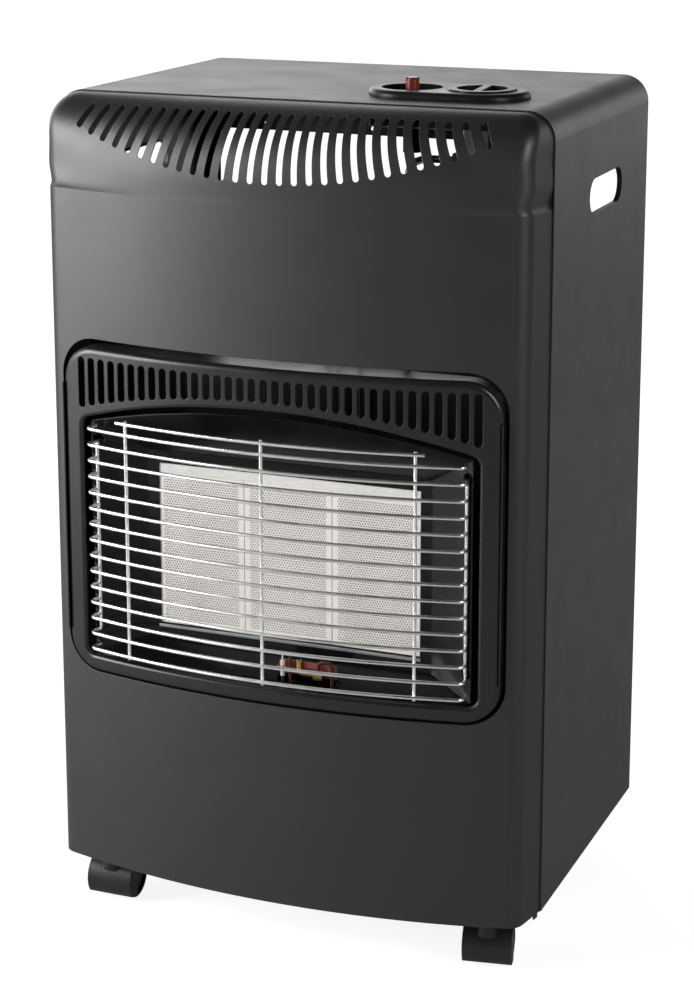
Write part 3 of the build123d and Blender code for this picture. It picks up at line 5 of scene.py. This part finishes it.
import bpy
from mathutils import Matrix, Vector


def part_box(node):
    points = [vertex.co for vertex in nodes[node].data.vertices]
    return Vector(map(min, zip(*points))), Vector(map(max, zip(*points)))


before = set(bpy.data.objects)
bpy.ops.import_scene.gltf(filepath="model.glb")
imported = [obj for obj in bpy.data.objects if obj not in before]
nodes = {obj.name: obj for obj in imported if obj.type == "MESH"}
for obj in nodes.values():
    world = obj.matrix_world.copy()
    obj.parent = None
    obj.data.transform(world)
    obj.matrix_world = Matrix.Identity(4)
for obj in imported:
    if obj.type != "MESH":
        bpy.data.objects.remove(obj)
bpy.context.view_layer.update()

WHITE = (1.0, 1.0, 1.0, 1.0)
CLOUD_SCALE = 9.0  # size of the wandering in a finish's colour
SMEAR_SCALE = 23.0  # size of the wandering in its roughness
NOISE_LOW, NOISE_HIGH = 0.3, 0.7  # the part of a noise that is spread over a finish's whole range
COLOUR_A, COLOUR_B, COLOUR_OUT = 6, 7, 2  # the mix node's sockets for colours


# ---------------------------------------------------------------- small helpers for shader nodes
class Graph:
    """Adds nodes to one node tree and links them by socket name"""

    def __init__(self, tree):
        self.tree = tree

    def add(self, kind, inputs=None, **settings):
        node = self.tree.nodes.new(kind)
        for key, value in settings.items():
            setattr(node, key, value)
        for key, value in (inputs or {}).items():
            socket = node.inputs[key]
            if isinstance(value, bpy.types.NodeSocket):
                self.tree.links.new(value, socket)
            else:
                socket.default_value = value
        return node

    def link(self, source, node, socket):
        self.tree.links.new(source, node.inputs[socket])

    def math(self, operation, a, b=0.0):
        return self.add("ShaderNodeMath", {0: a, 1: b}, operation=operation).outputs[0]

    def product(self, first, *others):
        for other in others:
            first = self.math("MULTIPLY", first, other)
        return first

    def distance(self, a, b):
        """Length of the vector with the parts a and b"""
        squares = self.math("ADD", self.math("MULTIPLY", a, a), self.math("MULTIPLY", b, b))
        return self.math("SQRT", squares)

    def range(self, value, low, high, to_low=0.0, to_high=1.0):
        node = self.add(
            "ShaderNodeMapRange",
            {"Value": value, "From Min": low, "From Max": high, "To Min": to_low, "To Max": to_high},
            interpolation_type="SMOOTHSTEP",
        )
        return node.outputs["Result"]

    def mix(self, factor, a, b):
        node = self.add("ShaderNodeMix", {"Factor": factor}, data_type="RGBA")
        for key, value in ((COLOUR_A, a), (COLOUR_B, b)):
            if isinstance(value, bpy.types.NodeSocket):
                self.tree.links.new(value, node.inputs[key])
            else:
                node.inputs[key].default_value = (*value, 1.0)
        return node.outputs[COLOUR_OUT]

    def place(self):
        return self.add("ShaderNodeTexCoord").outputs["Object"]

    def place_axes(self):
        return self.add("ShaderNodeSeparateXYZ", {0: self.place()}).outputs

    def noise(self, scale, detail=2.0, rough=0.5, stretch=None):
        vector = self.place()
        if stretch:
            vector = self.add("ShaderNodeMapping", {"Vector": vector, "Scale": stretch}).outputs[0]
        node = self.add(
            "ShaderNodeTexNoise",
            {"Vector": vector, "Scale": scale, "Detail": detail, "Roughness": rough},
        )
        return node.outputs[0]

    def spread_noise(self, noise, low, high):
        """A noise spread between two values"""
        return self.range(noise, NOISE_LOW, NOISE_HIGH, low, high)

    def spread_colour(self, noise, dark, light):
        """A noise spread between two colours"""
        return self.mix(self.range(noise, NOISE_LOW, NOISE_HIGH), dark, light)


def finish_of(name, base, rough, metal=0.0, spec=0.5):
    """New material with a Principled shader; returns it, its graph and the shader"""
    material = bpy.data.materials.new(name)
    material.use_nodes = True
    material.node_tree.nodes.clear()
    graph = Graph(material.node_tree)
    out = graph.add("ShaderNodeOutputMaterial")
    shader = graph.add(
        "ShaderNodeBsdfPrincipled",
        {
            "Base Color": (*base, 1.0),
            "Roughness": rough,
            "Metallic": metal,
            "Specular IOR Level": spec,
        },
    )
    graph.link(shader.outputs[0], out, 0)
    return material, graph, shader


def relief(graph, shader, height, strength, distance, rounding=0.0):
    """Bump from a height, on normals that a small rounding softens at the edges"""
    inputs = {"Height": height, "Strength": strength, "Distance": distance}
    if rounding:
        inputs["Normal"] = graph.add("ShaderNodeBevel", {"Radius": rounding}, samples=4).outputs[0]
    bump = graph.add("ShaderNodeBump", inputs)
    graph.link(bump.outputs[0], shader, "Normal")


def varied(name, base, spread, rough, rough_spread, scale, bump, distance, rounding=0.0, **more):
    """Finish whose colour and roughness wander a little, with a fine relief"""
    material, graph, shader = finish_of(name, base, rough, **more)
    dark = tuple(part * (1 - spread) for part in base)
    light = tuple(min(1.0, part * (1 + spread)) for part in base)
    colour = graph.spread_colour(graph.noise(CLOUD_SCALE, 3.0), dark, light)
    graph.link(colour, shader, "Base Color")
    smear = graph.spread_noise(graph.noise(SMEAR_SCALE, 3.0), rough - rough_spread, rough + rough_spread)
    graph.link(smear, shader, "Roughness")
    relief(graph, shader, graph.noise(scale, 2.0, 0.6), bump, distance, rounding)
    return material


# ---------------------------------------------------------------- painted and plated steel
charcoal = varied(
    "charcoal_enamel", (0.0108, 0.0104, 0.0132), spread=0.05, rough=0.44, rough_spread=0.02,
    scale=1500.0, bump=0.22, distance=0.0002, rounding=0.0006, spec=0.72,
)
black_enamel = varied(
    "black_enamel", (0.010, 0.010, 0.0105), spread=0.08, rough=0.30, rough_spread=0.03,
    scale=700.0, bump=0.06, distance=0.0002, rounding=0.0010, spec=0.5,
)
hood_enamel = varied(
    "hood_enamel", (0.006, 0.006, 0.006), spread=0.1, rough=0.16, rough_spread=0.03,
    scale=60.0, bump=0.10, distance=0.0006, rounding=0.0015, spec=0.24,
)
zinc = varied(
    "zinc_steel", (0.42, 0.43, 0.44), spread=0.10, rough=0.38, rough_spread=0.08,
    scale=400.0, bump=0.10, distance=0.0002, metal=1.0, rounding=0.0004,
)
heated_steel = varied(
    "heated_steel", (0.045, 0.044, 0.044), spread=0.15, rough=0.50, rough_spread=0.08,
    scale=300.0, bump=0.10, distance=0.0002, metal=1.0, rounding=0.0004,
)
chrome = varied(
    "chromed_wire", (0.92, 0.92, 0.91), spread=0.03, rough=0.30, rough_spread=0.04,
    scale=500.0, bump=0.05, distance=0.0001, metal=1.0,
)

# ---------------------------------------------------------------- brass, copper and small parts
brass = varied(
    "brass", (0.55, 0.37, 0.14), spread=0.10, rough=0.30, rough_spread=0.08,
    scale=500.0, bump=0.10, distance=0.0001, metal=1.0,
)
copper = varied(
    "copper", (0.40, 0.13, 0.10), spread=0.18, rough=0.36, rough_spread=0.08,
    scale=300.0, bump=0.10, distance=0.0001, metal=0.7,
)
# darker copy of the copper for the pilot tube and thermocouple, so they read dark behind the surround's
# slots
dark_copper = varied(
    "dark_copper", (0.07, 0.035, 0.028), spread=0.15, rough=0.5, rough_spread=0.08,
    scale=300.0, bump=0.10, distance=0.0001, metal=0.7,
)
porcelain = varied(
    "white_ceramic", (0.78, 0.76, 0.71), spread=0.03, rough=0.22, rough_spread=0.03,
    scale=300.0, bump=0.05, distance=0.0001,
)
sleeve = varied(
    "lead_sleeve", (0.02, 0.02, 0.02), spread=0.05, rough=0.45, rough_spread=0.05,
    scale=900.0, bump=0.10, distance=0.0001,
)

# ---------------------------------------------------------------- plastics
button_plastic = varied(
    "red_brown_plastic", (0.17, 0.018, 0.009), spread=0.06, rough=0.30, rough_spread=0.03,
    scale=900.0, bump=0.05, distance=0.0001, rounding=0.0004,
)
caster_plastic = varied(
    "caster_plastic", (0.011, 0.011, 0.012), spread=0.06, rough=0.42, rough_spread=0.04,
    scale=1100.0, bump=0.15, distance=0.0002, rounding=0.0006,
)
wheel_plastic = varied(
    "wheel_plastic", (0.010, 0.010, 0.011), spread=0.08, rough=0.50, rough_spread=0.05,
    scale=900.0, bump=0.20, distance=0.0002, rounding=0.0006,
)

BEZEL_SPEC = 0.22
DISH_SHADE_SPEC = 0.01  # painted shade: the reflection is nearly switched off in the dish round the igniter button
DISH_RADIUS = 0.0256
DISH_TOP = 0.7285


def bezel_finish():
    """Black plastic of the controls; in the dish round the igniter button the reflection is nearly
    switched off as painted shade
    """
    material = varied(
        "black_plastic", (0.009, 0.009, 0.010), spread=0.05, rough=0.36, rough_spread=0.03,
        scale=1200.0, bump=0.05, distance=0.0001, rounding=0.0005, spec=BEZEL_SPEC,
    )
    graph = Graph(material.node_tree)
    shader = next(node for node in graph.tree.nodes if node.type == "BSDF_PRINCIPLED")
    button_low, button_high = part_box("igniter_button")
    middle = (button_low + button_high) / 2
    axes = graph.place_axes()
    reach = graph.distance(
        graph.math("SUBTRACT", axes[0], middle.x), graph.math("SUBTRACT", axes[1], middle.y)
    )
    inside = graph.math("LESS_THAN", reach, DISH_RADIUS)
    dish = graph.product(inside, graph.math("LESS_THAN", axes[2], DISH_TOP))
    # painted shade: inside the dish the specular level drops nearly to nothing, darkening it as shade
    # would
    graph.link(graph.range(dish, 0.0, 1.0, BEZEL_SPEC, DISH_SHADE_SPEC), shader, "Specular IOR Level")
    return material


def seal_finish():
    """Soft white strip of fibre"""
    material, graph, shader = finish_of("seal_fibre", (0.80, 0.79, 0.75), 0.9)
    fibres = graph.noise(600.0, 4.0, 0.7, stretch=(0.25, 1.0, 1.0))
    colour = graph.spread_colour(fibres, (0.80, 0.79, 0.76), (0.92, 0.91, 0.89))
    graph.link(colour, shader, "Base Color")
    relief(graph, shader, fibres, 0.6, 0.0006, rounding=0.0008)
    return material


# ---------------------------------------------------------------- plaques
PLAQUE_PITCH = 0.0794
PLAQUE_LOW, PLAQUE_HIGH = 0.271, 0.405
MARGIN = 0.0052  # plain edge of each plaque
JOINT = 0.0003  # half the dark line between two plaques
HOLE_X, HOLE_Z = 0.0024, 0.0021
HOLE_INNER_MM, HOLE_OUTER_MM = 0.50, 0.80  # a hole's edge fades between these radii
# painted shade inside the flame holes
HOLE_SHADE_TONE = (0.30, 0.26, 0.21)
JOINT_TONE = (0.35, 0.33, 0.30)


def hole_reach(graph, axes, shift):
    """Distance in millimetres to the nearest hole of one of the two staggered grids"""
    x = graph.math("PINGPONG", graph.math("ADD", axes[0], 1.0 + shift * HOLE_X / 2), HOLE_X / 2)
    z = graph.math("PINGPONG", graph.math("ADD", axes[2], shift * HOLE_Z), HOLE_Z)
    return graph.math("MULTIPLY", graph.distance(x, z), 1000.0)


def plaque_finish():
    """Cream ceramic with rows of staggered flame holes inside a plain margin; the holes are darkened as
    painted shade and pressed in by a bump
    """
    material, graph, shader = finish_of("ceramic", (0.80, 0.78, 0.73), 0.85)
    axes = graph.place_axes()
    in_plaque = graph.math("PINGPONG", axes[0], PLAQUE_PITCH / 2)
    field = graph.product(
        graph.math("LESS_THAN", in_plaque, PLAQUE_PITCH / 2 - MARGIN),
        graph.math("GREATER_THAN", axes[2], PLAQUE_LOW + MARGIN),
        graph.math("LESS_THAN", axes[2], PLAQUE_HIGH - MARGIN),
    )
    nearest = graph.math("MINIMUM", hole_reach(graph, axes, 0.0), hole_reach(graph, axes, 1.0))
    hole = graph.product(graph.range(nearest, HOLE_INNER_MM, HOLE_OUTER_MM, 1.0, 0.0), field)
    joint = graph.math("GREATER_THAN", in_plaque, PLAQUE_PITCH / 2 - JOINT)
    tone = graph.spread_colour(graph.noise(14.0, 4.0), (0.87, 0.84, 0.79), (0.94, 0.92, 0.88))
    # painted shade: the flame holes are darkened in the colour, standing in for the shade inside them
    tone = graph.mix(hole, tone, HOLE_SHADE_TONE)
    tone = graph.mix(joint, tone, JOINT_TONE)
    graph.link(tone, shader, "Base Color")
    grain = graph.math("MULTIPLY", graph.noise(900.0), 0.1)
    relief(graph, shader, graph.math("SUBTRACT", grain, hole), 0.8, 0.0006)
    return material


# ---------------------------------------------------------------- finishes on the nodes
bezel_plastic = bezel_finish()
FINISHES = {
    "casing": charcoal,
    "front_panel": charcoal,
    "rear_cover": charcoal,
    "cover_stops": charcoal,
    "base_plate": black_enamel,
    "hinge_lugs": black_enamel,
    "burner_surround": black_enamel,
    "reflector_hood": hood_enamel,
    "ceramic_plaques": plaque_finish(),
    "plaque_seal": seal_finish(),
    "wire_guard": chrome,
    "pilot_bracket": copper,
    "pilot_tube": dark_copper,
    "thermocouple": dark_copper,
    "pilot_burner": brass,
    "pilot_electrode": porcelain,
    "ignition_lead": sleeve,
    "injectors": brass,
    "heat_shield": heated_steel,
    "burner_box": heated_steel,
    "burner_stays": heated_steel,
    "burner_brackets": heated_steel,
    "valve_plunger": brass,
    "valve_outlet_nut": brass,
    "hose_tail": brass,
    "control_bezel": bezel_plastic,
    "control_knob": bezel_plastic,
    "piezo_igniter": bezel_plastic,
    "igniter_button": button_plastic,
}
for name, item in nodes.items():
    finish = FINISHES.get(name, zinc)
    if name.startswith("caster_hood"):
        finish = caster_plastic
    if name.startswith("caster_wheel"):
        finish = wheel_plastic
    item.data.materials.clear()
    item.data.materials.append(finish)

# ---------------------------------------------------------------- floor
FLOOR_SIZE = 60.0
FLOOR_TONE = (0.42, 0.42, 0.42)
MIRRORED_FLOOR = 0.12  # how bright the floor's own light is in reflections
LIFT_NEAR, LIFT_FAR = 0.86, 0.14  # the floor's own light by the heater, and what is added far off
FADE_START, FADE_END = 0.7, 1.6

bpy.ops.mesh.primitive_plane_add(size=FLOOR_SIZE)
floor = bpy.context.object
floor.name = "floor"
paper, graph, shader = finish_of("floor_paper", FLOOR_TONE, 0.9, spec=0.05)
path = graph.add("ShaderNodeLightPath").outputs
mirrored = graph.math("MAXIMUM", path["Is Glossy Ray"], path["Is Transmission Ray"])
seen = graph.math("MAXIMUM", path["Is Camera Ray"], graph.product(mirrored, MIRRORED_FLOOR))
distance = graph.add("ShaderNodeVectorMath", {0: graph.place()}, operation="LENGTH").outputs["Value"]
far = graph.range(distance, FADE_START, FADE_END)
lift = graph.product(seen, graph.math("ADD", graph.product(far, LIFT_FAR), LIFT_NEAR))
shader.inputs["Emission Color"].default_value = WHITE
graph.link(lift, shader, "Emission Strength")
floor.data.materials.append(paper)

# ---------------------------------------------------------------- world
ROOM_LIGHT = 3.2  # strength of the room, brightest low at the back left; the camera sees plain white

world = bpy.data.worlds.new("studio")
bpy.context.scene.world = world
world.use_nodes = True
world.node_tree.nodes.clear()
graph = Graph(world.node_tree)
path = graph.add("ShaderNodeLightPath").outputs
generated = graph.add("ShaderNodeTexCoord").outputs["Generated"]
direction = graph.add("ShaderNodeSeparateXYZ", {0: generated}).outputs
behind = graph.range(direction[1], -0.35, 0.55, 0.03, 1.0)
leftward = graph.range(direction[0], 0.1, -0.62, 0.12, 1.0)
low = graph.range(direction[2], 0.14, 0.60, 1.0, 0.06)
room = graph.product(behind, leftward, graph.product(low, ROOM_LIGHT))
seen = path["Is Camera Ray"]
glow = graph.math("ADD", graph.product(room, graph.math("SUBTRACT", 1.0, seen)), seen)
background = graph.add("ShaderNodeBackground", {"Color": WHITE, "Strength": glow})
graph.link(background.outputs[0], graph.add("ShaderNodeOutputWorld"), 0)


# ---------------------------------------------------------------- lamps
def softbox(name, place, aim, width, height, power):
    """Rectangular lamp at place, facing aim"""
    light = bpy.data.lights.new(name, "AREA")
    light.shape = "RECTANGLE"
    light.size = width
    light.size_y = height
    light.energy = power
    lamp = bpy.data.objects.new(name, light)
    lamp.location = place
    lamp.rotation_mode = "QUATERNION"
    lamp.rotation_quaternion = (Vector(aim) - Vector(place)).to_track_quat("-Z", "Y")
    bpy.context.scene.collection.objects.link(lamp)
    lamp.visible_camera = False


softbox("key", (-2.3, -1.6, 1.15), aim=(0.0, 0.0, 0.45), width=1.5, height=2.0, power=118.0)
softbox("fill", (2.4, -1.3, 1.6), aim=(0.0, 0.0, 0.45), width=1.0, height=1.8, power=38.0)
softbox("rim", (1.3, 2.3, 0.9), aim=(0.0, 0.0, 0.4), width=0.8, height=1.2, power=5.0)

# ---------------------------------------------------------------- camera
AZIMUTH, PITCH, DISTANCE = 21.8126, 12.7975, 1.95923
TARGET = Vector((0.04341, -0.09875, 0.51919))
SENSOR = 36.0
PHOTO_HEIGHT = 1000.0
FOCAL_LENGTH = 2389.34  # in pixels of the photo
SHIFT_Y = -0.15

around, up = math.radians(AZIMUTH), math.radians(PITCH)
back = Vector((math.sin(around) * math.cos(up), -math.cos(around) * math.cos(up), math.sin(up)))
lens = bpy.data.cameras.new("camera")
lens.sensor_width = SENSOR
lens.lens = FOCAL_LENGTH * SENSOR / PHOTO_HEIGHT
lens.shift_y = SHIFT_Y
lens.clip_start, lens.clip_end = 0.05, 100.0
camera = bpy.data.objects.new("camera", lens)
camera.location = TARGET + back * DISTANCE
camera.rotation_mode = "QUATERNION"
camera.rotation_quaternion = (-back).to_track_quat("-Z", "Y")
bpy.context.scene.collection.objects.link(camera)
bpy.context.scene.camera = camera
bpy.context.scene.view_settings.view_transform = "Standard"
